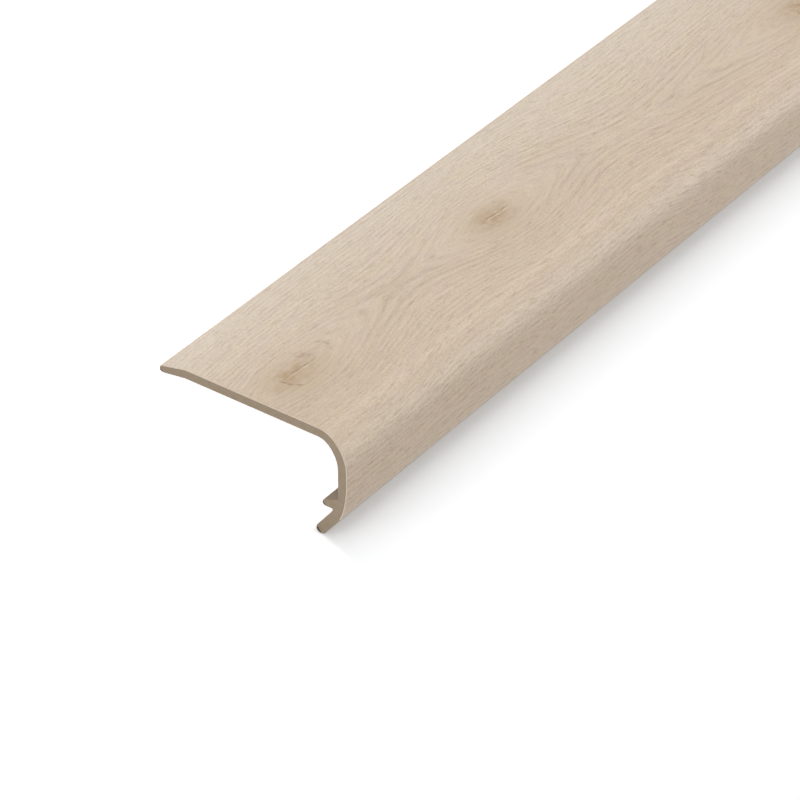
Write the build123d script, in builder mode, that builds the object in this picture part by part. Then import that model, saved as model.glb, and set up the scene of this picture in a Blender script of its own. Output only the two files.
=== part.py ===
import math
import os

from build123d import *

# Overall sizes of the stock, in millimetres
length = 2400.0
width = 58.8  # front face to the tip of the rear lip
wall = 2.8

# Nose, outer radii: the crown leaves the flange top and the brow runs into the front face
crown_radius = 7.7
crown_turn = 45.0  # degrees
brow_radius = 12.0

# Front, outer radii: a short upright face, then cheek and chin lead back into the leg
front_height = 3.4
cheek_radius = 34.0
cheek_turn = 15.0  # degrees
chin_radius = 11.5

# Slanted leg with a round tip
leg_lean = 37.5  # degrees from upright
leg_thickness = 3.1
leg_length = 6.2  # lower face, from the chin to the round tip
leg_reach = 8.6  # upper face, from the throat to the round tip

# Barb that stands back from the front wall above the leg
barb_length = 4.9
barb_root_height = 3.4
barb_tip_radius = 1.0
barb_root_fillet = 0.8
throat_fillet = 0.35

# Lip that droops at the rear edge of the flange
lip_run = 8.3
lip_droop = 1.1  # its tip below the underside of the flange
lip_tip_radius = 1.1
lip_bend_radius = 6.0  # on the underside

# Section, drawn with the flange level: x runs to the front and y runs up from the flange top
nose_run = brow_radius - (brow_radius - crown_radius) * math.sin(math.radians(crown_turn))
crest = Vector(lip_run - width, 0)
heel = Vector(lip_run - width, -wall)
lip_centre = Vector(lip_tip_radius - width, lip_tip_radius - wall - lip_droop)

with BuildSketch() as section:
    with BuildLine() as outline:
        # Show side, from the rear of the flange to the tip of the leg
        top = Line(crest, (-nose_run, 0))
        crown = JernArc(top @ 1, top % 1, crown_radius, -crown_turn)
        brow = JernArc(crown @ 1, crown % 1, brow_radius, crown_turn - 90)
        front = Line(brow @ 1, (brow @ 1) - (0, front_height))
        cheek = JernArc(front @ 1, front % 1, cheek_radius, -cheek_turn)
        chin = JernArc(cheek @ 1, cheek % 1, chin_radius, cheek_turn - leg_lean)
        leg_face = Line(chin @ 1, (chin @ 1) + (chin % 1) * leg_length)
        leg_tip = JernArc(leg_face @ 1, leg_face % 1, leg_thickness / 2, -180)

        # Hidden side, from the leg back to the rear of the flange
        leg_back = Line(leg_tip @ 1, (leg_tip @ 1) + (leg_tip % 1) * leg_reach)
        throat = leg_back @ 1
        barb_centre = Vector(barb_tip_radius - wall - barb_length, throat.Y + barb_tip_radius)
        barb_root = Vector(-wall, throat.Y + barb_root_height)
        barb_end = CenterArc(barb_centre, barb_tip_radius, 0, 360, mode=Mode.PRIVATE)
        barb_top = ConstrainedLines(barb_end, barb_root, selector=lambda lines: lines.sort_by(Axis.Y)[-1])
        barb_under = Line(throat, (barb_centre.X, throat.Y))
        ThreePointArc(barb_under @ 1, barb_centre - (barb_tip_radius, 0), barb_top @ 0)
        inner_face = Line(barb_root, (-wall, (brow @ 1).Y))
        inner_brow = JernArc(inner_face @ 1, inner_face % 1, brow_radius - wall, 90 - crown_turn)
        inner_crown = JernArc(inner_brow @ 1, inner_brow % 1, crown_radius - wall, crown_turn)
        underside = Line(inner_crown @ 1, heel)

        # Round tip of the rear lip
        lip_end = CenterArc(lip_centre, lip_tip_radius, 0, 360, mode=Mode.PRIVATE)
        lip_top = ConstrainedLines(lip_end, crest, selector=lambda lines: lines.sort_by(Axis.Y)[-1])
        lip_under = ConstrainedLines(lip_end, heel, selector=lambda lines: lines.sort_by(Axis.Y)[0])
        ThreePointArc(lip_under @ 0, lip_centre - (lip_tip_radius, 0), lip_top @ 0)
    make_face()
    fillet(section.vertices().sort_by_distance(crest)[0], lip_bend_radius + wall)
    fillet(section.vertices().sort_by_distance(heel)[0], lip_bend_radius)
    fillet(section.vertices().sort_by_distance(barb_root)[0], barb_root_fillet)
    fillet(section.vertices().sort_by_distance(throat)[0], throat_fillet)

# Laid down unheld, it rests on the round tips of the leg and of the lip, with the front raised
leg_centre = leg_tip.arc_center
span = leg_centre - lip_centre
tilt = math.atan2(-span.Y, span.X) + math.asin((leg_thickness / 2 - lip_tip_radius) / span.length)
laid = section.sketch.rotate(Axis.Z, math.degrees(tilt)).bounding_box()
rest = Plane(
    origin=(0, laid.center().X, -laid.min.Y),
    x_dir=(0, -math.cos(tilt), math.sin(tilt)),
    z_dir=(-1, 0, 0),
)

with BuildPart() as stair_nosing:
    with BuildSketch(rest):
        add(section.sketch)
    extrude(amount=length / 2, both=True)

stair_nosing.part.label = "stair_nosing"
os.makedirs("parts", exist_ok=True)
export_step(stair_nosing.part, "parts/stair_nosing.step")
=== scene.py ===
import math

import bmesh
import bpy
from mathutils import Color, Matrix, Vector


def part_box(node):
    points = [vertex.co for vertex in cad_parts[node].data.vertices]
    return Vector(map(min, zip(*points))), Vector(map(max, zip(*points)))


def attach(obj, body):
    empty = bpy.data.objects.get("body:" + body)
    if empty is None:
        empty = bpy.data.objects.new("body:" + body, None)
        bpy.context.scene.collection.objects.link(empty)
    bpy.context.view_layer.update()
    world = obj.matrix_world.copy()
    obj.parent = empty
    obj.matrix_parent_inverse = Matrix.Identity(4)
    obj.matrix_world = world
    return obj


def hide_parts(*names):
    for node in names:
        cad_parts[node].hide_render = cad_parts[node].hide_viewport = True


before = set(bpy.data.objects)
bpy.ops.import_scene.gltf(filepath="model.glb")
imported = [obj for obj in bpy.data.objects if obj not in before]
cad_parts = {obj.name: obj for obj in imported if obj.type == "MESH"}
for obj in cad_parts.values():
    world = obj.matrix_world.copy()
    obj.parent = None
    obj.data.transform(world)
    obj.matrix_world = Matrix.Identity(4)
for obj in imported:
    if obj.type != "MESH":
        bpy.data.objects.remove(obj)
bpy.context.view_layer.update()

scene = bpy.context.scene
scene.view_settings.view_transform = "Standard"


# Small helpers for the node trees
def paint(red, green, blue):
    return (*Color((red / 255, green / 255, blue / 255)).from_srgb_to_scene_linear(), 1.0)


def addNode(tree, kind, inputs=(), **settings):
    node = tree.nodes.new(kind)
    for name, value in settings.items():
        setattr(node, name, value)
    for key, value in dict(inputs).items():
        if isinstance(value, bpy.types.NodeSocket):
            tree.links.new(value, node.inputs[key])
        else:
            node.inputs[key].default_value = value
    return node


def maths(tree, operation, *values):
    return addNode(tree, "ShaderNodeMath", enumerate(values), operation=operation).outputs[0]


def addUp(tree, values):
    total = values[0]
    for value in values[1:]:
        total = maths(tree, "ADD", total, value)
    return total


def fade(tree, value, low, high, lowTo=0.0, highTo=1.0):  # smooth step between two levels
    ends = {"Value": value, "From Min": low, "From Max": high, "To Min": lowTo, "To Max": highTo}
    return addNode(tree, "ShaderNodeMapRange", ends, interpolation_type="SMOOTHSTEP").outputs[0]


def hump(tree, value, halfWidth):  # 1 in the middle, falling off on both sides
    share = maths(tree, "DIVIDE", value, halfWidth)
    square = maths(tree, "MULTIPLY", share, share)
    return maths(tree, "EXPONENT", maths(tree, "MULTIPLY", square, -1.0))


def grain(tree, along, across, alongScale, acrossScale, seed, detail=2.0):
    place = addNode(tree, "ShaderNodeCombineXYZ", {
        0: maths(tree, "MULTIPLY", along, alongScale),
        1: maths(tree, "MULTIPLY", across, acrossScale),
        2: seed,
    })
    noise = addNode(tree, "ShaderNodeTexNoise", {"Vector": place.outputs[0], "Scale": 1.0, "Detail": detail})
    return noise.outputs[0]


def evenNoise(tree, along, across, noise):  # as much below nought as above it
    return maths(tree, "SUBTRACT", grain(tree, along, across, *noise), 0.5)


def tint(tree, share, under, over, mode="MIX"):
    node = addNode(tree, "ShaderNodeMix", data_type="RGBA", blend_type=mode)
    for socket, value in zip((node.inputs[0], node.inputs[6], node.inputs[7]), (share, under, over)):
        if isinstance(value, bpy.types.NodeSocket):
            tree.links.new(value, socket)
        else:
            socket.default_value = value
    return node.outputs[2]


def startMaterial(name):
    material = bpy.data.materials.new(name)
    material.use_nodes = True
    tree = material.node_tree
    return material, tree, tree.nodes["Principled BSDF"]


def addBump(tree, shader, height, bump):
    strength, distance = bump
    node = addNode(tree, "ShaderNodeBump", {"Height": height, "Strength": strength, "Distance": distance})
    tree.links.new(node.outputs[0], shader.inputs["Normal"])


# The profile, in millimetres and degrees, with the flange level: x to the front, y up
profile = {
    "length": 2400.0,
    "width": 58.8,
    "wall": 2.8,
    "crownRadius": 7.7,
    "crownTurn": 45.0,
    "browRadius": 12.0,
    "frontHeight": 3.4,
    "cheekRadius": 34.0,
    "cheekTurn": 15.0,
    "chinRadius": 11.5,
    "legLean": 37.5,
    "legThickness": 3.1,
    "legLength": 6.2,
    "legReach": 8.6,
    "barbLength": 4.9,
    "barbRootHeight": 3.4,
    "barbTipRadius": 1.0,
    "barbRootFillet": 0.8,
    "throatFillet": 0.35,
    "lipRun": 8.3,
    "lipDroop": 1.1,
    "lipTipRadius": 1.1,
    "lipBendRadius": 6.0,
    "film": 0.27,  # thickness that shows on the cut ends
    "glueLine": 0.3,  # darker line of glue under it
    "filmStep": 0.1,  # how far the film stands proud where it stops on the chin
    "filmWrap": 20.0,  # how far it goes round the tip of the lip
    "filmChin": 15.2,  # how far it goes round the chin
    "arcStep": 1.6,  # degrees of turn for each segment
    "leastSteps": 4,
    "cutBevel": 0.11,
    "sharpAngle": 15.0,
    "stations": 24,
    "hiddenMark": -50.0,  # stands for the way across on faces without film
}
finishNames = ["print", "filmEdge", "hidden", "cut", "glue"]  # in the order of the material slots


def wayTo(degrees):
    turn = math.radians(degrees)
    return Vector((math.cos(turn), math.sin(turn), 0.0))


def penDown(bm, place, heading):
    return {"bm": bm, "vert": bm.verts.new((place[0], place[1], 0.0)), "heading": heading}


def penRun(pen, distance):
    point = bmesh.ops.extrude_vert_indiv(pen["bm"], verts=[pen["vert"]])["verts"][0]
    bmesh.ops.translate(pen["bm"], verts=[point], vec=wayTo(pen["heading"]) * distance)
    pen["vert"] = point


def penBend(pen, radius, degrees):  # to the left when positive
    centre = pen["vert"].co + wayTo(pen["heading"] + math.copysign(90.0, degrees)) * radius
    made = bmesh.ops.spin(
        pen["bm"], geom=[pen["vert"]], cent=centre, axis=(0.0, 0.0, 1.0), angle=math.radians(degrees),
        steps=max(profile["leastSteps"], round(abs(degrees) / profile["arcStep"])))
    pen["vert"] = next(v for v in made["geom_last"] if isinstance(v, bmesh.types.BMVert))
    pen["heading"] += degrees


def tangentFrom(centre, radius, point, upper):  # slope and length of a tangent to a round tip
    reach = Vector(point) - Vector(centre)
    lean = math.asin(radius / reach.length)
    slope = math.atan2(reach.y, reach.x) + (-lean if upper else lean)
    return math.degrees(slope), math.sqrt(reach.length ** 2 - radius ** 2)


def filletRun(radius, degrees):
    return radius * math.tan(math.radians(abs(degrees)) / 2)


def edgesAlong(bm, verts):
    return [bm.edges.get(pair) for pair in zip(verts, verts[1:])]


def lipPlace(size):
    return (size["lipTipRadius"] - size["width"], size["lipTipRadius"] - size["wall"] - size["lipDroop"])


def lipTop(size):  # slope and length of the lip's upper face
    crest = (size["lipRun"] - size["width"], 0.0)
    return tangentFrom(lipPlace(size), size["lipTipRadius"], crest, upper=True)


def browShift(size):  # how far the brow's centre lies behind and below the crown's
    gap = size["browRadius"] - size["crownRadius"]
    turn = math.radians(size["crownTurn"])
    return gap * math.sin(turn), gap * math.cos(turn)


def drawShowLine(bm, size, inset):  # lip, flange, nose and front, as far as the film goes
    first = len(bm.verts)
    lipCentre = lipPlace(size)
    slope, reach = lipTop(size)
    crestRadius = size["lipBendRadius"] + size["wall"]
    trim = filletRun(crestRadius, slope)
    tip = size["lipTipRadius"] - inset
    begin = Vector((*lipCentre, 0.0)) + wayTo(180.0 + size["filmWrap"]) * tip
    pen = penDown(bm, begin, 90.0 + size["filmWrap"])
    penBend(pen, tip, slope - 90.0 - size["filmWrap"])
    penRun(pen, reach - trim)
    penBend(pen, crestRadius - inset, -slope)
    noseRun = size["browRadius"] - browShift(size)[0]
    penRun(pen, size["width"] - size["lipRun"] - noseRun - trim)
    penBend(pen, size["crownRadius"] - inset, -size["crownTurn"])
    penBend(pen, size["browRadius"] - inset, size["crownTurn"] - 90.0)
    penRun(pen, size["frontHeight"])
    penBend(pen, size["cheekRadius"] - inset, -size["cheekTurn"])
    penBend(pen, size["chinRadius"] - inset, -size["filmChin"])
    return list(bm.verts)[first:]


def drawHiddenLine(bm, size, start, heading, browEnd):  # leg, barb, inside of the nose and underside
    step = size["filmStep"]
    first = len(bm.verts)
    pen = penDown(bm, start, heading)
    penBend(pen, size["chinRadius"] - step, size["cheekTurn"] + size["filmChin"] - size["legLean"])
    penRun(pen, size["legLength"])
    legCentre = pen["vert"].co + wayTo(pen["heading"] - 90.0) * (size["legThickness"] - step * 2) / 2
    penBend(pen, (size["legThickness"] - step) / 2, -180.0)
    throatTurn = 90.0 + size["legLean"]
    throatTrim = filletRun(size["throatFillet"], throatTurn)
    throat = pen["vert"].co + wayTo(pen["heading"]) * size["legReach"]
    penRun(pen, size["legReach"] - throatTrim)
    penBend(pen, size["throatFillet"], throatTurn)
    barbX = size["barbTipRadius"] - size["wall"] - size["barbLength"]
    barbCentre = (barbX, throat.y + size["barbTipRadius"])
    barbRoot = (-size["wall"], throat.y + size["barbRootHeight"])
    barbSlope, barbRun = tangentFrom(barbCentre, size["barbTipRadius"], barbRoot, upper=True)
    barbTrim = filletRun(size["barbRootFillet"], 90.0 - barbSlope)
    penRun(pen, throat.x - barbCentre[0] - throatTrim)
    penBend(pen, size["barbTipRadius"], barbSlope - 180.0)
    penRun(pen, barbRun - barbTrim)
    penBend(pen, size["barbRootFillet"], 90.0 - barbSlope)
    penRun(pen, browEnd - barbRoot[1] - barbTrim)
    penBend(pen, size["browRadius"] - size["wall"], 90.0 - size["crownTurn"])
    penBend(pen, size["crownRadius"] - size["wall"], size["crownTurn"])
    lipCentre = lipPlace(size)
    heel = (size["lipRun"] - size["width"], -size["wall"])
    slope, reach = tangentFrom(lipCentre, size["lipTipRadius"], heel, upper=False)
    heelTrim = filletRun(size["lipBendRadius"], slope)
    penRun(pen, pen["vert"].co.x - heel[0] - heelTrim)
    penBend(pen, size["lipBendRadius"], slope)
    penRun(pen, reach - heelTrim)
    penBend(pen, size["lipTipRadius"], size["filmWrap"] - 90.0 - slope)
    tips = {"barb": Vector((*barbCentre, 0.0)), "leg": legCentre, "lip": Vector((*lipCentre, 0.0))}
    return list(bm.verts)[first:], tips


def facesEnd(face):
    return abs(face.normal.z) > 0.5


def buildProfile(size):
    bm = bmesh.new()
    acrossGrain = bm.verts.layers.float.new("acrossGrain")
    outer = drawShowLine(bm, size, 0.0)
    inner = drawShowLine(bm, size, size["film"])
    glued = drawShowLine(bm, size, size["film"] + size["glueLine"])
    browEnd = -size["crownRadius"] - browShift(size)[1]
    filmEnd = outer[-1].co.lerp(inner[-1].co, size["filmStep"] / size["film"])
    hidden, tips = drawHiddenLine(bm, size, filmEnd, -90.0 - size["cheekTurn"] - size["filmChin"], browEnd)
    gap = (hidden[-1].co - outer[0].co).length
    print("outline drawn with", len(bm.verts), "points, closing gap", round(gap, 5), "mm")

    # Way across the print, measured round the outside from where the lip's round tip ends
    travel = -size["lipTipRadius"] * math.radians(90.0 + size["filmWrap"] - lipTop(size)[0])
    for before, after in zip([outer[0]] + outer, outer):
        travel += (after.co - before.co).length
        after[acrossGrain] = travel
    for vert in hidden:
        vert[acrossGrain] = size["hiddenMark"]
    print("print runs from", round(outer[0][acrossGrain], 2), "to", round(travel, 2), "mm")

    # Near end: the film's edge and its glue as narrow strips, and the core inside them
    bmesh.ops.weld_verts(bm, targetmap={hidden[-1]: outer[0]})
    hidden[-1] = outer[0]
    strip = bmesh.ops.bridge_loops(bm, edges=edgesAlong(bm, outer) + edgesAlong(bm, inner))["faces"]
    for face in strip:
        face.material_index = finishNames.index("filmEdge")
    glueStrip = bmesh.ops.bridge_loops(bm, edges=edgesAlong(bm, inner) + edgesAlong(bm, glued))["faces"]
    for face in glueStrip:
        face.material_index = finishNames.index("glue")
    bmesh.ops.contextual_create(bm, geom=[hidden[0], inner[-1]])
    rim = edgesAlong(bm, glued) + edgesAlong(bm, hidden) + edgesAlong(bm, [hidden[0], inner[-1], glued[-1]])
    rim += edgesAlong(bm, [outer[0], inner[0], glued[0]])
    core = bmesh.ops.contextual_create(bm, geom=rim)["faces"]
    core[0].material_index = finishNames.index("cut")

    # Extrude to the far end, then give each side its material
    made = bmesh.ops.extrude_face_region(bm, geom=strip + glueStrip + core, use_keep_orig=True)["geom"]
    farVerts = [v for v in made if isinstance(v, bmesh.types.BMVert)]
    bmesh.ops.translate(bm, verts=farVerts, vec=(0.0, 0.0, size["length"]))
    bmesh.ops.recalc_face_normals(bm, faces=bm.faces)
    for face in [face for face in bm.faces if not facesEnd(face)]:
        shown = all(vert[acrossGrain] > size["hiddenMark"] / 2 for vert in face.verts)
        face.material_index = finishNames.index("print" if shown else "hidden")
        face.smooth = True
    cutRim = [edge for edge in bm.edges if len({facesEnd(face) for face in edge.link_faces}) == 2]
    bmesh.ops.bevel(bm, geom=cutRim, offset=size["cutBevel"], offset_type="OFFSET", segments=2, profile=0.5,
                    affect="EDGES", material=-1, clamp_overlap=False)
    longEdges = [edge for edge in bm.edges if edge.calc_length() > size["length"] / 2]
    bmesh.ops.subdivide_edges(bm, edges=longEdges, cuts=size["stations"] - 1, use_grid_fill=True)
    return bm, tips


def layDown(size, tips, box):  # it lies on the round tips of the leg and the lip
    span = tips["leg"] - tips["lip"]
    rise = size["legThickness"] / 2 - size["lipTipRadius"]
    tilt = math.atan2(-span.y, span.x) + math.asin(rise / span.length)
    turn = Matrix((
        (0.0, 0.0, 1.0),
        (-math.cos(tilt), math.sin(tilt), 0.0),
        (math.sin(tilt), math.cos(tilt), 0.0),
    ))
    lip = turn @ tips["lip"] / 1000
    radius = size["lipTipRadius"] / 1000
    place = Vector((box[0].x, box[1].y - radius - lip.y, box[0].z + radius - lip.z))
    return Matrix.Translation(place) @ Matrix.Scale(0.001, 4) @ turn.to_4x4()


bm, tips = buildProfile(profile)
rest = layDown(profile, tips, [Vector(corner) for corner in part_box("stair_nosing")])
bmesh.ops.transform(bm, matrix=rest, verts=bm.verts)
bmesh.ops.recalc_face_normals(bm, faces=bm.faces)
nosingMesh = bpy.data.meshes.new("oak_stair_nosing")
bm.to_mesh(nosingMesh)
bm.free()
nosingMesh.set_sharp_from_angle(angle=math.radians(profile["sharpAngle"]))
nosing = bpy.data.objects.new("oak_stair_nosing", nosingMesh)
scene.collection.objects.link(nosing)
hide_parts("stair_nosing")
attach(nosing, "root")
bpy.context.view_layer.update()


# Oak print on the film, in millimetres: along from the near end, across from the lip
oakPrint = {
    "repeat": 1200.0,
    "heart": [  # along, across: the line that the growth rings lie round
        (17.5, 30.6), (63.0, 28.1), (105.3, 29.2), (135.0, 29.0), (180.0, 35.2), (250.0, 36.5), (372.0, 24.0),
        (498.0, 33.0), (640.0, 27.5), (742.0, 31.5), (880.0, 38.0), (1010.0, 29.0), (1112.0, 25.5),
        (1195.0, 30.6),
    ],
    "heartBlur": 3.0,
    "lensDepth": 20.0,
    "firstRing": 1.0,  # level of the ring that crosses over between two knots
    "ringGap": 2.7,
    "linePitch": 1.8,  # fine lines between the rings
    "knotRoom": 30.0,  # how far a knot's own marks reach each way
    "knots": [  # along, across, reach, swell, eye, which way its hooks face and how clear they are
        (17.5, 30.6, 30.0, 11.7, 5.0, 1.0),
        (105.3, 29.2, 28.0, 12.0, 4.3, 0.4),
        (250.0, 36.5, 54.4, 11.5, 5.5, 0.8),
        (372.0, 24.0, 34.0, 9.0, 3.6, -1.0),
        (498.0, 33.0, 42.0, 12.0, 5.2, 0.6),
        (640.0, 27.5, 30.0, 11.0, 4.2, -0.8),
        (742.0, 31.5, 36.0, 12.5, 5.0, 0.5),
        (880.0, 38.0, 48.0, 9.0, 3.4, 1.0),
        (1010.0, 29.0, 33.0, 12.0, 4.8, -1.0),
        (1112.0, 25.5, 38.0, 9.5, 3.8, 0.7),
    ],
    "pins": [(158.6, 27.4), (153.0, 27.9), (431.0, 17.0), (577.0, 36.5), (829.0, 21.5), (941.0, 12.0)],
    "pinSize": (0.7, 0.4),
    "pinStrength": 0.3,
    "rearColour": paint(223, 208, 189),
    "frontColour": paint(211, 193, 171),
    # Darker than the front of the flange: warmer print, and painted shade on the apron
    "noseColourWithShade": paint(209, 188, 163),
    "rearToFront": (-4.0, 52.0),  # across, where one colour turns into the next
    "frontToNose": (61.0, 68.0),
    "lateWood": paint(158, 135, 108),
    "warmCast": (1.0, 1.0, 0.965, 1.0),
    "pinkCast": (1.0, 0.975, 1.0, 1.0),
    "knotColour": paint(162, 130, 84),
    "hookColour": paint(128, 92, 58),
    "crackColour": paint(92, 70, 46),
    "fillerColour": paint(226, 211, 190),
    "gloss": 0.75,
    "rough": 0.4,
    "fibreRough": 0.16,
    "poreRough": 0.12,
    "fibreDepth": 0.5,
    "bump": (0.3, 0.0001),  # strength, distance in metres
}


def followHeart(tree, look, along):
    line = look["heart"][0][1]
    for (start, across), (end, nextAcross) in zip(look["heart"], look["heart"][1:]):
        line = maths(tree, "ADD", fade(tree, along, start, end, 0.0, nextAcross - across), line)
    return line


def gatherKnots(tree, look, along):  # how far the rings bow out, and which knot is near
    bows, near = [], {"away": [], "across": [], "eye": [], "hook": [], "here": []}
    half = look["repeat"] / 2
    for knotAlong, knotAcross, reach, swell, eye, hook in look["knots"]:
        away = maths(tree, "WRAP", maths(tree, "SUBTRACT", along, knotAlong), half, -half)
        bows.append(maths(tree, "MULTIPLY", hump(tree, away, reach), swell))
        here = maths(tree, "LESS_THAN", maths(tree, "ABSOLUTE", away), look["knotRoom"])
        near["here"].append(here)
        for key, value in (("away", away), ("across", knotAcross), ("eye", eye), ("hook", hook)):
            near[key].append(maths(tree, "MULTIPLY", here, value))
    return addUp(tree, bows), {key: addUp(tree, values) for key, values in near.items()}


def dotPins(tree, look, along, across):
    half = look["repeat"] / 2
    halfLong, halfWide = look["pinSize"]
    dots = []
    for pinAlong, pinAcross in look["pins"]:
        away = maths(tree, "WRAP", maths(tree, "SUBTRACT", along, pinAlong), half, -half)
        aside = maths(tree, "SUBTRACT", across, pinAcross)
        dots.append(maths(tree, "MULTIPLY", hump(tree, away, halfLong), hump(tree, aside, halfWide)))
    return addUp(tree, dots)


# Marks of one knot, in shares of its eye: long with the grain, wide across it. The crack's width and sway,
# the filler and the ragged depth are in millimetres.
# A noise is its scale along, its scale across and its seed; levels are noise from, to, and what they become
knotMarks = {
    "leastEye": 0.1,
    "ragged": (0.2, 0.32, 41.0),
    "raggedDepth": 2.0,
    "patches": (0.3, 0.42, 52.0),
    "patchLevels": (0.36, 0.62, 0.55, 1.35),
    "deepShade": (-0.6, 0.0, 1.6, 0.8),  # middle long and wide, half size long and wide
    "deepStrength": 0.82,
    "faintShade": (-0.7, 0.3, 3.1, 1.9),
    "faintStrength": 0.56,
    "crackWobble": (0.3, 1.0, 4.0),
    "crackSway": 1.1,
    "crackSlope": -0.25,
    "crackEnds": (1.45, 0.6),
    "crackBreaks": (0.55, 1.0, 8.0),
    "breakLevels": (0.38, 0.58, 0.12, 1.0),
    "crackHalf": 0.14,
    "fillerAside": 0.45,
    "fillerHalf": 0.22,
    "lowerHook": {"ring": 1.48, "half": 0.07, "long": (-0.95, -1.15), "wide": (-0.35, 0.0)},
    "upperHook": {"ring": 1.15, "half": 0.26, "long": (0.5, 0.8, 0.0, 0.65), "wide": (-0.1, -0.3)},
    "belly": {"ring": 1.05, "half": 0.1, "wide": (0.2, 0.6, 0.0, 0.35)},
    "outerHook": {"ring": 0.52, "half": 0.1, "long": (0.05, 0.4, 0.0, 0.65)},
    "outerPlace": (2.0, -0.32),
    "wear": (0.8, 0.6, 83.0),
    "wearLevels": (0.36, 0.62, 0.2, 1.2),
    "haloStrength": 0.47,
    "hookStrength": 0.5,
    "fillerStrength": 0.6,
    "crackStrength": 0.75,
}


def blot(tree, long, wide, spot):
    midLong, midWide, halfLong, halfWide = spot
    return maths(tree, "MULTIPLY", hump(tree, maths(tree, "SUBTRACT", long, midLong), halfLong),
                 hump(tree, maths(tree, "SUBTRACT", wide, midWide), halfWide))


def hookMark(tree, hook, long, wide):  # a soft stretch of a ring
    ring = maths(tree, "SQRT", maths(tree, "MULTIPLY_ADD", long, long, maths(tree, "MULTIPLY", wide, wide)))
    mark = hump(tree, maths(tree, "SUBTRACT", ring, hook["ring"]), hook["half"])
    for key, value in (("long", long), ("wide", wide)):
        if key in hook:
            mark = maths(tree, "MULTIPLY", mark, fade(tree, value, *hook[key]))
    return mark


def drawEye(tree, marks, knot, along, across):
    aside = maths(tree, "SUBTRACT", across, knot["across"])
    eye = maths(tree, "MAXIMUM", knot["eye"], marks["leastEye"])
    ragged = evenNoise(tree, along, across, marks["ragged"])
    turn = maths(tree, "SIGN", knot["hook"])
    raggedAside = maths(tree, "MULTIPLY_ADD", ragged, marks["raggedDepth"], aside)
    long = maths(tree, "MULTIPLY", maths(tree, "DIVIDE", knot["away"], eye), turn)
    wide = maths(tree, "MULTIPLY", maths(tree, "DIVIDE", raggedAside, eye), turn)

    # Brown shade over the eye, in patches, and a wider faint one
    patches = fade(tree, grain(tree, along, across, *marks["patches"]), *marks["patchLevels"])
    deep = maths(tree, "MULTIPLY", blot(tree, long, wide, marks["deepShade"]), patches)
    faint = maths(tree, "MULTIPLY", blot(tree, long, wide, marks["faintShade"]), marks["faintStrength"])
    shade = maths(tree, "MULTIPLY_ADD", deep, marks["deepStrength"], faint)
    shade = maths(tree, "MULTIPLY", shade, knot["here"])

    # Fine crack along the eye, with pale filler beside it
    wobble = evenNoise(tree, along, 0.0, marks["crackWobble"])
    slant = maths(tree, "MULTIPLY_ADD", long, marks["crackSlope"], aside)
    off = maths(tree, "MULTIPLY_ADD", wobble, marks["crackSway"], slant)
    ends = fade(tree, maths(tree, "ABSOLUTE", long), *marks["crackEnds"])
    breaks = fade(tree, grain(tree, along, 0.0, *marks["crackBreaks"]), *marks["breakLevels"])
    part = maths(tree, "MULTIPLY", maths(tree, "MULTIPLY", ends, knot["here"]), breaks)
    crack = maths(tree, "MULTIPLY", hump(tree, off, marks["crackHalf"]), part)
    beside = maths(tree, "SUBTRACT", off, marks["fillerAside"])
    filler = maths(tree, "MULTIPLY", hump(tree, beside, marks["fillerHalf"]), part)

    # Soft curved marks like hooks round the eye, and a belly where the hooks are weak
    outLong, outWide = (maths(tree, "SUBTRACT", value, middle)
                        for value, middle in zip((long, wide), marks["outerPlace"]))
    clear = maths(tree, "ABSOLUTE", knot["hook"])
    belly = maths(tree, "MULTIPLY", hookMark(tree, marks["belly"], long, wide),
                  maths(tree, "SUBTRACT", 1.0, clear))
    hooks = addUp(tree, [
        hookMark(tree, marks["lowerHook"], long, wide),
        hookMark(tree, marks["upperHook"], long, wide),
        hookMark(tree, marks["outerHook"], outLong, outWide),
    ])
    hooks = maths(tree, "MULTIPLY_ADD", hooks, clear, belly)
    worn = fade(tree, grain(tree, along, across, *marks["wear"]), *marks["wearLevels"])
    hooks = maths(tree, "MULTIPLY", hooks, maths(tree, "MULTIPLY", worn, knot["here"]))
    return shade, crack, hooks, filler


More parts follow.
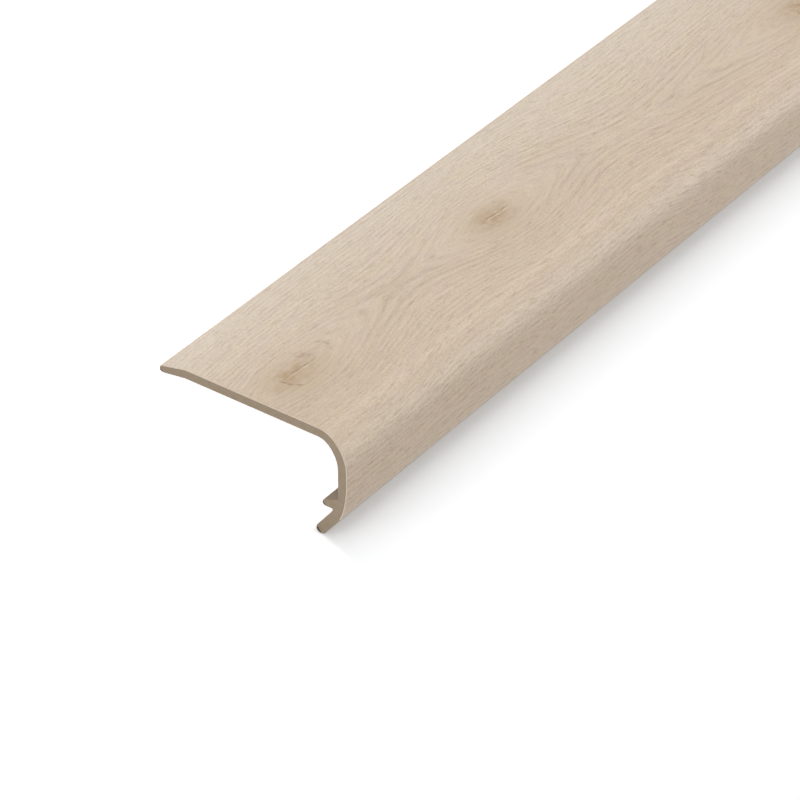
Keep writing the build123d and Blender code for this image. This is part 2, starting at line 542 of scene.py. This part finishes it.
# Grain between the knots. A noise that runs with the rings has a fourth value,
# how far its seed moves from the heart to one side
oakGrain = {
    "sway": (0.011, 0.03, 3.1),
    "swayDepth": 2.5,
    "shake": (0.06, 0.22, 5.7),
    "shakeDepth": 1.2,
    "roam": (0.007, 0.12, 0.0, 2.0),
    "ringRoam": 0.6,
    "lineRoam": 12.0,
    "ringHalf": 0.18,
    "ringRise": (0.0, 0.5),
    "ringFall": (1.0, 0.55),
    "ringLineShare": 0.8,
    "ringBreaks": (0.009, 0.22, 9.0, 3.0),
    "breakLevels": (0.36, 0.62, 0.25, 1.0),
    "heartReach": 10.0,
    "farFromHeart": 0.15,  # how clear the rings stay away from the heart
    "betweenLift": (4.5, 4.0),  # bow of the rings between two knots, and how far from it they fade
    "atKnots": 0.25,  # how clear they stay elsewhere
    "ringStrength": 0.27,
    "linePatches": (0.02, 0.08, 61.0),
    "lineLevels": (0.35, 0.6, 0.25, 1.0),
    "lineStrength": 0.06,
    "streak": (0.045, 0.85, 11.0, 4.0),
    "streakDetail": 3.0,
    "streakStrength": 0.26,
    "fibre": (0.15, 2.2, 29.0, 6.0),
    "fibreStrength": 0.42,
    "pores": (0.25, 1.9, 17.0, 5.0),
    "poreLevels": (0.56, 0.7),
    "poreStrength": 0.2,
    "speck": (1.2, 1.7, 37.0),
    "speckStrength": 0.5,
    "plainDetail": 1.0,  # for fibres, pores and specks
    "textureMiddle": 0.61,
    "frontTextureWithReliefShade": (56.0, 63.0, 1.3, 1.7),  # across, and strength of the texture there; its extra strength on the front is painted shade of the emboss
    "lensTexture": (1.0, -4.0, 1.0, 0.62),  # field, likewise
    "boldTexture": (0.4, 1.0, 1.0, 0.65),  # where the rings are bold
    "lensShade": (1.0, -4.0, 0.0, -0.06),
    "patch": (0.02, 0.06, 23.0),
    "patchStrength": 0.14,
    "groundShade": 0.11,
    "drift": (0.07, 0.34, 71.0),
    "driftLevels": (0.32, 0.68),
}


def ringNoise(tree, along, field, side, noise, detail=2.0):
    alongScale, acrossScale, seed, sideStep = noise
    sideSeed = maths(tree, "MULTIPLY_ADD", side, sideStep, seed)
    return grain(tree, along, field, alongScale, acrossScale, sideSeed, detail)


def atLeast(tree, share, least):
    return maths(tree, "MULTIPLY_ADD", share, 1.0 - least, least)


def makeOakPrint(look, marks, weave, size):
    material, tree, shader = startMaterial("oak_print_film")
    place = addNode(tree, "ShaderNodeTexCoord").outputs["Object"]
    lengthways = addNode(tree, "ShaderNodeSeparateXYZ", {0: place}).outputs[0]
    along = maths(tree, "MULTIPLY_ADD", lengthways, 1000.0, size["length"] / 2)
    across = addNode(tree, "ShaderNodeAttribute", attribute_name="acrossGrain").outputs["Fac"]

    # The drawing wanders a little, so no line is quite straight
    sway = maths(tree, "MULTIPLY", evenNoise(tree, along, across, weave["sway"]), weave["swayDepth"])
    shake = maths(tree, "MULTIPLY", evenNoise(tree, along, across, weave["shake"]), weave["shakeDepth"])
    drawn = addUp(tree, [across, sway, shake])
    lift, knot = gatherKnots(tree, look, along)
    halo, crack, hooks, filler = drawEye(tree, marks, knot, along, drawn)

    # Growth rings as level lines of one field that bows out round each knot
    heart = followHeart(tree, look, maths(tree, "WRAP", along, look["repeat"], 0.0))
    fromHeart = maths(tree, "SUBTRACT", drawn, heart)
    blurSquare = look["heartBlur"] ** 2
    softened = maths(tree, "SQRT", maths(tree, "MULTIPLY_ADD", fromHeart, fromHeart, blurSquare))
    side = maths(tree, "DIVIDE", fromHeart, softened)
    bowed = maths(tree, "MULTIPLY", lift, hump(tree, fromHeart, look["lensDepth"]))
    field = maths(tree, "SUBTRACT", softened, bowed)
    roam = maths(tree, "SUBTRACT", ringNoise(tree, along, field, side, weave["roam"]), 0.5)
    phase = maths(tree, "MULTIPLY_ADD", roam, weave["ringRoam"], 0.5 - look["firstRing"] / look["ringGap"])
    ring = maths(tree, "FRACT", maths(tree, "MULTIPLY_ADD", field, 1.0 / look["ringGap"], phase))
    ringLine = hump(tree, maths(tree, "SUBTRACT", ring, 0.5), weave["ringHalf"])
    rise, fall = (fade(tree, ring, *weave[key]) for key in ("ringRise", "ringFall"))
    ringShade = maths(tree, "MULTIPLY", maths(tree, "MULTIPLY", rise, fall), 1.0 - weave["ringLineShare"])
    ringDrawn = maths(tree, "MULTIPLY_ADD", ringLine, weave["ringLineShare"], ringShade)
    unbroken = fade(tree, ringNoise(tree, along, field, side, weave["ringBreaks"]), *weave["breakLevels"])
    nearHeart = atLeast(tree, hump(tree, field, weave["heartReach"]), weave["farFromHeart"])
    midLift, liftReach = weave["betweenLift"]
    between = atLeast(tree, hump(tree, maths(tree, "SUBTRACT", lift, midLift), liftReach), weave["atKnots"])
    bold = maths(tree, "MULTIPLY", nearHeart, between)
    rings = maths(tree, "MULTIPLY", maths(tree, "MULTIPLY", unbroken, bold), ringDrawn)

    # Lines, streaks, fibres and pores run with the rings, and specks lie on all of it
    lineRoam = maths(tree, "MULTIPLY", roam, weave["lineRoam"])
    hair = maths(tree, "SINE", maths(tree, "MULTIPLY_ADD", field, math.tau / look["linePitch"], lineRoam))
    hairShown = fade(tree, grain(tree, along, drawn, *weave["linePatches"]), *weave["lineLevels"])
    streak = ringNoise(tree, along, field, side, weave["streak"], weave["streakDetail"])
    fibre = ringNoise(tree, along, field, side, weave["fibre"], weave["plainDetail"])
    dash = ringNoise(tree, along, field, side, weave["pores"], weave["plainDetail"])
    pore = fade(tree, dash, *weave["poreLevels"])
    speck = grain(tree, along, drawn, *weave["speck"], weave["plainDetail"])
    patch = grain(tree, along, drawn, *weave["patch"])
    texture = addUp(tree, [
        maths(tree, "MULTIPLY", maths(tree, "MULTIPLY", hair, hairShown), weave["lineStrength"]),
        maths(tree, "MULTIPLY", streak, weave["streakStrength"]),
        maths(tree, "MULTIPLY", fibre, weave["fibreStrength"]),
        maths(tree, "MULTIPLY", pore, weave["poreStrength"]),
        maths(tree, "MULTIPLY_ADD", speck, weave["speckStrength"], -weave["textureMiddle"]),
    ])
    # the stronger texture on the front is partly painted shade of the emboss
    for value, key in ((across, "frontTextureWithReliefShade"), (field, "lensTexture"), (bold, "boldTexture")):
        texture = maths(tree, "MULTIPLY", texture, fade(tree, value, *weave[key]))
    shade = addUp(tree, [
        texture,
        maths(tree, "MULTIPLY", rings, weave["ringStrength"]),
        maths(tree, "MULTIPLY_ADD", patch, weave["patchStrength"], weave["groundShade"]),
        fade(tree, field, *weave["lensShade"]),
    ])

    # Colours, from the ground up to the marks
    ground = tint(tree, fade(tree, across, *look["rearToFront"]), look["rearColour"], look["frontColour"])
    # the nose colour holds painted shade on the apron
    ground = tint(tree, fade(tree, across, *look["frontToNose"]), ground, look["noseColourWithShade"])
    wood = tint(tree, maths(tree, "MAXIMUM", shade, 0.0), ground, look["lateWood"])
    drift = fade(tree, grain(tree, along, drawn, *weave["drift"]), *weave["driftLevels"])
    wood = tint(tree, 1.0, wood, tint(tree, drift, look["warmCast"], look["pinkCast"]), "MULTIPLY")
    for share, strength, colour in (
            (halo, "haloStrength", "knotColour"),
            (hooks, "hookStrength", "hookColour"),
            (filler, "fillerStrength", "fillerColour")):
        wood = tint(tree, maths(tree, "MULTIPLY", share, marks[strength]), wood, look[colour])
    dots = maths(tree, "MULTIPLY", dotPins(tree, look, along, across), look["pinStrength"])
    fineMarks = maths(tree, "MAXIMUM", maths(tree, "MULTIPLY", crack, marks["crackStrength"]), dots)
    wood = tint(tree, fineMarks, wood, look["crackColour"])
    tree.links.new(wood, shader.inputs["Base Color"])
    shader.inputs["Specular IOR Level"].default_value = look["gloss"]

    # Pores are a touch duller and pressed into the film
    rough = maths(tree, "MULTIPLY_ADD", fibre, look["fibreRough"], look["rough"])
    rough = maths(tree, "MULTIPLY_ADD", pore, look["poreRough"], rough)
    tree.links.new(rough, shader.inputs["Roughness"])
    height = maths(tree, "SUBTRACT", maths(tree, "MULTIPLY", fibre, -look["fibreDepth"]),
                   addUp(tree, [pore, fineMarks]))
    addBump(tree, shader, height, look["bump"])
    return material


# Plain core, on the cut ends and the hidden side, with painted shade at the round tips and a hidden side
# painted lighter.
# Scales are per metre, the painted shade lines at the tips in millimetres, and a noise is its scale and its
# detail
vinylCore = {
    # The hidden side is lighter than the cut core: painted light that lifts the shade inside the nose and
    # under the flange
    "hidden": paint(174, 156, 134),
    "hiddenDark": paint(158, 140, 119),
    "dieScale": (3.0, 900.0, 900.0),  # lines that the die leaves along the length
    "dieNoise": (1.0, 3.0),
    "cloudNoise": (160.0, 4.0),
    "hiddenMix": (0.6, 0.6, -0.1),  # share of the dark colour from die lines, from clouds and everywhere
    "hiddenRough": (0.25, 0.34),  # from die lines, everywhere
    "hiddenBump": (0.2, 0.0001),  # strength, distance in metres
    "cut": paint(158, 140, 119),
    "cutDark": paint(141, 123, 101),
    "cutCloudNoise": (650.0, 3.0),
    "sawTurn": 22.0,  # degrees
    "sawScale": (1.0, 260.0, 2600.0),
    "sawNoise": (1.0, 2.0),
    "cutMix": (0.5, 0.9, -0.3),  # from saw marks, from clouds and everywhere
    "cutRough": (0.2, 0.55),
    "cutBump": (0.3, 0.00006),
    # Painted shade at the round tips: a dark line on the side of each tip that turns away from the light
    "tipPaintedShade": paint(26, 20, 15),
    "tipPaintedShadeLines": {"leg": (0.95, 1.0), "barb": (0.75, 0.75), "lip": (0.75, 0.75)},  # width and strength
    "paintedShadeFacing": (-0.8, -0.6, 0.0),  # way that the painted shade on a tip faces, with the flange level
    "tipTurn": (0.6, 0.84),
    "tipSoft": 0.6,  # share of the line's width where it has its full strength
    "tipOutside": (0.4, 0.15),
    "glue": paint(147, 129, 108),
    "glueDark": paint(136, 118, 97),
    "filmEdge": paint(226, 209, 190),
    "filmEdgeDark": paint(208, 189, 168),
    "lineNoise": (900.0, 2.0),
    "lineRough": (0.2, 0.45),
    "lineBump": (0.15, 0.00004),
}


def vectors(tree, operation, *values):
    return addNode(tree, "ShaderNodeVectorMath", enumerate(values), operation=operation).outputs


def plainNoise(tree, place, scale, detail):
    return addNode(tree, "ShaderNodeTexNoise", {"Vector": place, "Scale": scale, "Detail": detail}).outputs[0]


def mixTwo(tree, first, second, mix):
    firstShare, secondShare, always = mix
    rest = maths(tree, "MULTIPLY_ADD", second, secondShare, always)
    return maths(tree, "MULTIPLY_ADD", first, firstShare, rest)


def makeHiddenCore(look):
    material, tree, shader = startMaterial("vinyl_core_hidden")
    place = addNode(tree, "ShaderNodeTexCoord").outputs["Object"]
    lines = addNode(tree, "ShaderNodeMapping", {"Vector": place, "Scale": look["dieScale"]}).outputs[0]
    die = plainNoise(tree, lines, *look["dieNoise"])
    cloud = plainNoise(tree, place, *look["cloudNoise"])
    share = mixTwo(tree, die, cloud, look["hiddenMix"])
    # Lighter than the cut core: painted light on the hidden side
    tree.links.new(tint(tree, share, look["hidden"], look["hiddenDark"]), shader.inputs["Base Color"])
    tree.links.new(maths(tree, "MULTIPLY_ADD", die, *look["hiddenRough"]), shader.inputs["Roughness"])
    addBump(tree, shader, die, look["hiddenBump"])
    return material


# Painted shade round one tip: dark where the cut edge turns away from the light
def paintTipShade(tree, look, place, centre, radius, backwards, width, strength):
    reach = vectors(tree, "SUBTRACT", place, centre)["Vector"]
    flat = vectors(tree, "MULTIPLY", reach, (0.0, 1.0, 1.0))["Vector"]
    far = vectors(tree, "LENGTH", flat)["Value"]
    behind = vectors(tree, "DOT_PRODUCT", flat, backwards)["Value"]
    edge = fade(tree, far, (radius - width) / 1000, (radius - width * look["tipSoft"]) / 1000)
    gone, full = ((radius + outside) / 1000 for outside in look["tipOutside"])
    near = fade(tree, far, gone, full, 0.0, strength)
    turned = fade(tree, maths(tree, "DIVIDE", behind, far), *look["tipTurn"])
    return maths(tree, "MULTIPLY", edge, maths(tree, "MULTIPLY", near, turned))


def makeCutCore(look, rest, tips, radii):
    material, tree, shader = startMaterial("vinyl_core_cut")
    place = addNode(tree, "ShaderNodeTexCoord").outputs["Object"]
    cloud = plainNoise(tree, place, *look["cutCloudNoise"])
    strokes = addNode(tree, "ShaderNodeMapping", {
        "Vector": place,
        "Rotation": (math.radians(look["sawTurn"]), 0.0, 0.0),
        "Scale": look["sawScale"],
    }).outputs[0]
    saw = plainNoise(tree, strokes, *look["sawNoise"])
    share = mixTwo(tree, saw, cloud, look["cutMix"])
    colour = tint(tree, share, look["cut"], look["cutDark"])

    # Painted shade: a dark line round the rear of each round tip, where the cut edge turns away from the
    # light
    backwards = (rest.to_3x3() @ Vector(look["paintedShadeFacing"])).normalized()
    paintedTipShades = [paintTipShade(tree, look, place, rest @ tips[name], radii[name], backwards, width, strength)
              for name, (width, strength) in look["tipPaintedShadeLines"].items()]
    colour = tint(tree, addUp(tree, paintedTipShades), colour, look["tipPaintedShade"])
    tree.links.new(colour, shader.inputs["Base Color"])
    tree.links.new(maths(tree, "MULTIPLY_ADD", cloud, *look["cutRough"]), shader.inputs["Roughness"])
    addBump(tree, shader, saw, look["cutBump"])
    return material


def makeCutLine(look, name, pale, dark):  # film or glue where the saw went through
    material, tree, shader = startMaterial(name)
    place = addNode(tree, "ShaderNodeTexCoord").outputs["Object"]
    speck = plainNoise(tree, place, *look["lineNoise"])
    tree.links.new(tint(tree, speck, look[pale], look[dark]), shader.inputs["Base Color"])
    tree.links.new(maths(tree, "MULTIPLY_ADD", speck, *look["lineRough"]), shader.inputs["Roughness"])
    addBump(tree, shader, speck, look["lineBump"])
    return material


tipRadii = {
    "leg": profile["legThickness"] / 2,
    "barb": profile["barbTipRadius"],
    "lip": profile["lipTipRadius"],
}
finishes = {
    "print": makeOakPrint(oakPrint, knotMarks, oakGrain, profile),
    "filmEdge": makeCutLine(vinylCore, "film_cut_edge", "filmEdge", "filmEdgeDark"),
    "hidden": makeHiddenCore(vinylCore),
    "cut": makeCutCore(vinylCore, rest, tips, tipRadii),
    "glue": makeCutLine(vinylCore, "film_glue_line", "glue", "glueDark"),
}
for name in finishNames:
    nosingMesh.materials.append(finishes[name])
print("materials on:", [material.name for material in nosingMesh.materials])

# Studio: pale floor, soft light from behind and above, and the photograph's camera
studio = {
    "floorSize": 12.0,
    "floorGrid": 8,
    "floorColour": (0.9, 0.9, 0.9, 1.0),
    "floorSeen": (0.965, 0.981, 1.0, 1.0),  # a touch cool, so that the shadow comes out a plain grey
    "frontWhite": 0.15,  # plain white that the camera sees added to the floor in front of the nosing, which also lightens its shadow there: painted light
    "backWhite": 0.35,  # under it and behind it: painted light that lifts the shade there
    "farWhite": 0.85,  # under its near end, painted light that takes out the shade there, and away from it on all sides
    "frontLine": (-0.0285, -0.0245),  # sideways, where front turns into back, under the apron
    "underEnd": (-1.13, -1.175),  # lengthways, where the painted light behind grows towards the near end
    # lengthways, beyond the near end: painted light that takes out the shadow there
    "endLine": (-1.196, -1.206),
    "farSide": (0.11, 0.4),  # from the middle, to either side
    "farEnd": (1.25, 1.6),  # from the middle, to either end
    "ambient": 0.3,
    "lamps": [  # name, place, aim, length, width, power
        ("rear_strip", (-0.6, 0.371, 0.894), (-0.6, 0.0, 0.02), 6.0, 0.75, 18.9),
        ("nose_panel", (0.748, -1.5, 1.15), (-1.085, 0.0, 0.02), 1.1, 1.7, 19.4),
        ("end_panel", (-3.84, 0.6, 1.28), (-1.2, 0.0, 0.02), 1.6, 1.6, 20.5),
    ],
    "cameraPlace": (-1.826985, -0.143166, 0.767537),
    "cameraTurn": (35.5675, -23.8293, -49.7860),
    "lens": 179.883,
    "sensor": 36.0,
    "shift": (-0.5 / 800, 0.5 / 800),  # half a pixel of the photograph
    "clip": (0.05, 50.0),
}


def seenByCamera(tree):  # also in a reflection or through glass
    rays = addNode(tree, "ShaderNodeLightPath").outputs
    indirect = maths(tree, "MAXIMUM", rays["Is Glossy Ray"], rays["Is Transmission Ray"])
    return maths(tree, "MAXIMUM", rays["Is Camera Ray"], indirect)


def makeFloor(look):
    bm = bmesh.new()
    grid = look["floorGrid"]
    bmesh.ops.create_grid(bm, x_segments=grid, y_segments=grid, size=look["floorSize"] / 2)
    mesh = bpy.data.meshes.new("studio_floor")
    bm.to_mesh(mesh)
    bm.free()
    floor = bpy.data.objects.new("studio_floor", mesh)
    scene.collection.objects.link(floor)
    material = bpy.data.materials.new("studio_floor")
    material.use_nodes = True
    tree = material.node_tree
    tree.nodes.clear()
    seen = seenByCamera(tree)
    colour = tint(tree, seen, look["floorColour"], look["floorSeen"])
    matt = addNode(tree, "ShaderNodeBsdfDiffuse", {"Color": colour})
    place = addNode(tree, "ShaderNodeTexCoord").outputs["Object"]
    lengthways, sideways, _ = addNode(tree, "ShaderNodeSeparateXYZ", {0: place}).outputs
    # More white where the camera looks: plain white background, and painted light that lifts the shade under
    # and behind the nosing
    under = fade(tree, lengthways, *look["underEnd"], look["backWhite"], look["farWhite"])
    level = maths(tree, "MULTIPLY", fade(tree, sideways, *look["frontLine"]), under)
    level = maths(tree, "MAXIMUM", level, look["frontWhite"])
    for value, line in (
            (lengthways, "endLine"),
            (maths(tree, "ABSOLUTE", sideways), "farSide"),
            (maths(tree, "ABSOLUTE", lengthways), "farEnd")):
        level = maths(tree, "MAXIMUM", fade(tree, value, *look[line], 0.0, look["farWhite"]), level)
    whiteAndPaintedLight = maths(tree, "MULTIPLY", seen, level)
    white = addNode(tree, "ShaderNodeEmission", {"Color": (1.0, 1.0, 1.0, 1.0), "Strength": whiteAndPaintedLight})
    both = addNode(tree, "ShaderNodeAddShader", {0: matt.outputs[0], 1: white.outputs[0]})
    addNode(tree, "ShaderNodeOutputMaterial", {"Surface": both.outputs[0]})
    mesh.materials.append(material)


def makeWorld(look):
    world = bpy.data.worlds.new("studio_air")
    world.use_nodes = True
    tree = world.node_tree
    tree.nodes.clear()
    seen = seenByCamera(tree)
    level = maths(tree, "MULTIPLY_ADD", seen, 1.0 - look["ambient"], look["ambient"])
    air = addNode(tree, "ShaderNodeBackground", {"Color": (1.0, 1.0, 1.0, 1.0), "Strength": level})
    addNode(tree, "ShaderNodeOutputWorld", {"Surface": air.outputs[0]})
    scene.world = world


def makeLamps(look):
    for name, place, aim, length, width, power in look["lamps"]:
        lamp = bpy.data.lights.new(name, "AREA")
        lamp.shape, lamp.size, lamp.size_y, lamp.energy = "RECTANGLE", length, width, power
        holder = bpy.data.objects.new(name, lamp)
        holder.location = place
        holder.rotation_euler = (Vector(aim) - Vector(place)).to_track_quat("-Z", "Y").to_euler()
        scene.collection.objects.link(holder)


def makeCamera(look):
    camera = bpy.data.cameras.new("photo_view")
    camera.lens, camera.sensor_width = look["lens"], look["sensor"]
    camera.shift_x, camera.shift_y = look["shift"]
    camera.clip_start, camera.clip_end = look["clip"]
    holder = bpy.data.objects.new("photo_view", camera)
    holder.location = look["cameraPlace"]
    holder.rotation_euler = [math.radians(turn) for turn in look["cameraTurn"]]
    scene.collection.objects.link(holder)
    scene.camera = holder


makeFloor(studio)
makeWorld(studio)
makeLamps(studio)
makeCamera(studio)
print("studio ready")
